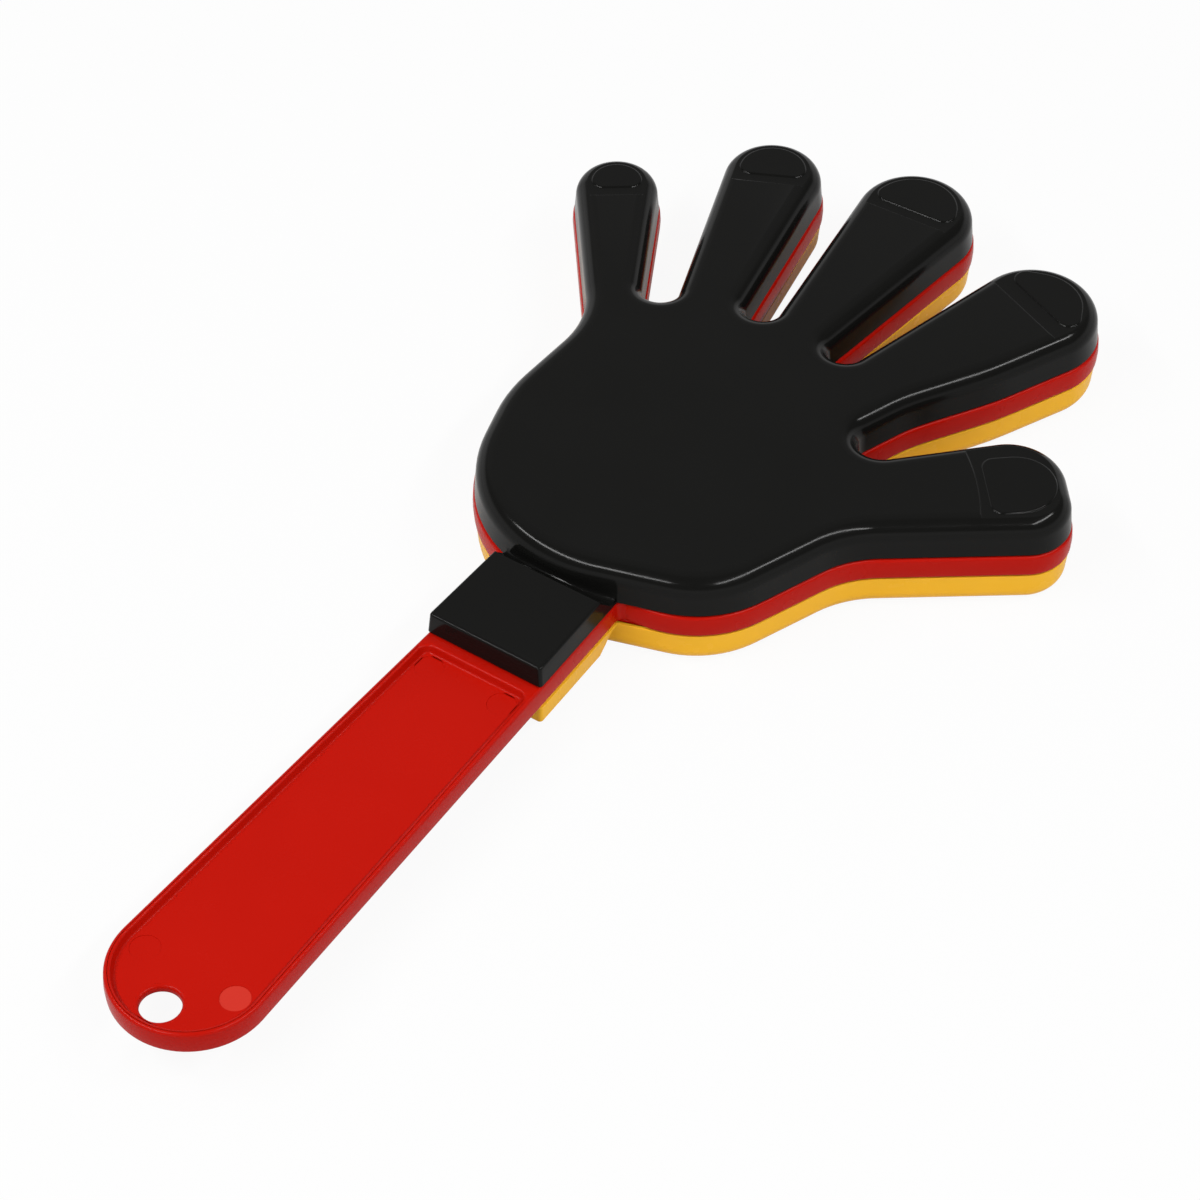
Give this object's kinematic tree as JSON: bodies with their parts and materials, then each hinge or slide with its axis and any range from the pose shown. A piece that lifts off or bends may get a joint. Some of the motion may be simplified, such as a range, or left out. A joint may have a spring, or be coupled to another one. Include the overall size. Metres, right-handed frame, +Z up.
{
  "type": "hand clapper",
  "caption": "Hand-shaped noisemaker: a flat middle hand on a long handle, with hollow outer hands hinged at its wrist that clap against it when it is shaken.",
  "frame": {"origin": "on the lower hand's flat palm, which the part rests on, midway across the handle and near the middle of the palm", "axes": "+Y from the handle to the fingertips, +X across the hand to the thumb, +Z up out of the upper hand's palm"},
  "size_m": [0.1424, 0.2775, 0.0225],
  "materials": {
    "red_plastic": "satin moulded",
    "black_plastic": "semi-gloss moulded",
    "yellow_plastic": "satin moulded"
  },
  "bodies": {
    "middle": {"middle_hand": "red_plastic"},
    "upper": {"upper_hand": "black_plastic"},
    "lower": {"lower_hand": "yellow_plastic"}
  },
  "joints": [
    {"name": "upper_hinge", "type": "hinge", "parent": "middle", "child": "upper", "pos_m": [0, -0.0595, 0.0142], "axis": [1, 0, 0], "range_deg": [0, 20]},
    {"name": "lower_hinge", "type": "hinge", "parent": "middle", "child": "lower", "pos_m": [0, -0.0595, 0.0083], "axis": [-1, 0, 0], "range_deg": [0, 20]}
  ]
}
